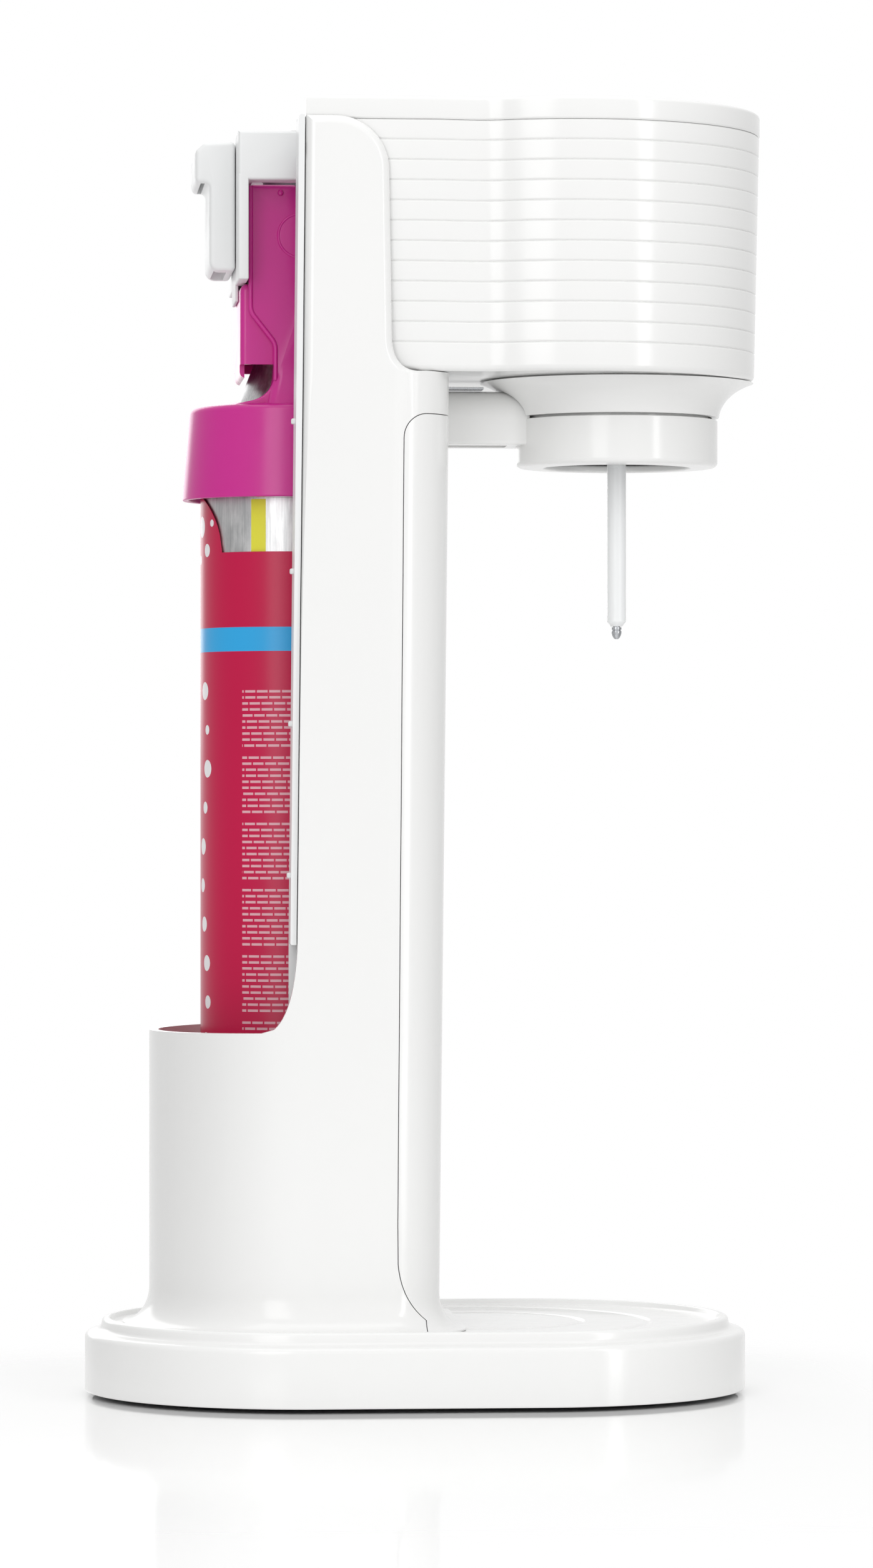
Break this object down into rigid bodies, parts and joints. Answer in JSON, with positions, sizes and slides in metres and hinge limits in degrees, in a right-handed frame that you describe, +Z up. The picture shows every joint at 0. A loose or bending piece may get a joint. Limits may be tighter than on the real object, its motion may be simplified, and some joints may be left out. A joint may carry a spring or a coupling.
{
  "type": "soda carbonator",
  "caption": "Upright countertop soda carbonator with an open gas bay, a press button on top and a snap-in bottle collar.",
  "frame": {"origin": "middle of the machine's footprint box, on the surface it stands on", "axes": "+Z up, +X towards the side the bottle goes in, +Y to the machine's left as seen from behind it"},
  "size_m": [0.2276, 0.1474, 0.43],
  "materials": {
    "white_abs": "moulded white, glossy",
    "satin_white": "moulded white, satin",
    "natural_nylon": "milky, slightly see-through",
    "magenta_pp": "moulded magenta",
    "printed_label": "printed film, crimson",
    "brushed_aluminium": "spun and brushed",
    "steel": "bright",
    "brass": "turned",
    "grey_nylon": "moulded grey",
    "rubber": "matt"
  },
  "bodies": {
    "housing": {"base_shell": "white_abs", "base_cover": "grey_nylon", "foot_1": "rubber", "foot_2": "rubber", "foot_3": "rubber", "foot_4": "rubber", "base_screw_1": "steel", "base_screw_2": "steel", "base_screw_3": "steel", "base_screw_4": "steel", "tower_screw_1": "steel", "tower_screw_2": "steel", "tower_screw_3": "steel", "tower_screw_4": "steel", "tower_shell": "white_abs", "front_cover": "white_abs", "bay_liner": "satin_white", "head_shell": "white_abs", "head_top": "white_abs", "head_underside": "white_abs", "button_tray": "satin_white", "button_spring": "steel", "actuator_pin": "steel", "receiver": "grey_nylon", "receiver_seal": "rubber", "gas_hose": "natural_nylon", "holder_pin": "steel", "snap_latch": "steel", "lever_pin_left": "steel", "lever_pin_right": "steel"},
    "button": {"button": "satin_white"},
    "beam": {"actuator_beam": "steel"},
    "plunger": {"plunger": "steel"},
    "holder": {"bottle_collar": "white_abs", "collar_liner": "grey_nylon", "bottle_gasket": "rubber", "nozzle": "natural_nylon", "nozzle_tip": "steel", "nozzle_block": "grey_nylon", "relief_valve": "brass"},
    "lever": {"lever_yoke": "satin_white", "lever_grip": "satin_white"},
    "cylinder": {"gas_cylinder": "brushed_aluminium", "gas_label": "printed_label", "valve_body": "grey_nylon", "cylinder_guard": "magenta_pp"},
    "valve_pin": {"valve_pin": "steel"}
  },
  "joints": [
    {"name": "button_press", "type": "slide", "parent": "housing", "child": "button", "axis": [0, 0, -1], "range_m": [0, 0.008], "stiffness_N_per_m": 900, "springref_m": -0.004, "deforming": ["button_spring"]},
    {"name": "beam_rock", "type": "hinge", "parent": "housing", "child": "beam", "pos_m": [-0.052, 0, 0.4179], "axis": [0, 1, 0], "range_deg": [0, 4.53]},
    {"name": "plunger_push", "type": "slide", "parent": "housing", "child": "plunger", "axis": [0, 0, -1], "range_m": [0, 0.0006]},
    {"name": "valve_pin_push", "type": "slide", "parent": "cylinder", "child": "valve_pin", "axis": [0, 0, -1], "range_m": [0, 0.0006]},
    {"name": "holder_tilt", "type": "hinge", "parent": "housing", "child": "holder", "pos_m": [0.0945, 0, 0.331], "axis": [0, -1, 0], "range_deg": [0, 8.5], "deforming": ["gas_hose"]},
    {"name": "lever_lift", "type": "hinge", "parent": "housing", "child": "lever", "pos_m": [-0.042, 0, 0.4125], "axis": [0, 1, 0], "range_deg": [0, 75]},
    {"name": "cylinder_tilt", "type": "hinge", "parent": "housing", "child": "cylinder", "pos_m": [-0.067, 0, 0.0275], "axis": [0, -1, 0], "range_deg": [0, 2.05]}
  ],
  "couplings": [
    {"joint": "beam_rock", "follows": "button_press", "rad_per_m": 9.8328},
    {"joint": "plunger_push", "follows": "button_press", "ratio": 0.0688},
    {"joint": "valve_pin_push", "follows": "button_press", "ratio": 0.0688},
    {"joint": "cylinder_tilt", "follows": "lever_lift", "ratio": 0.02667}
  ]
}
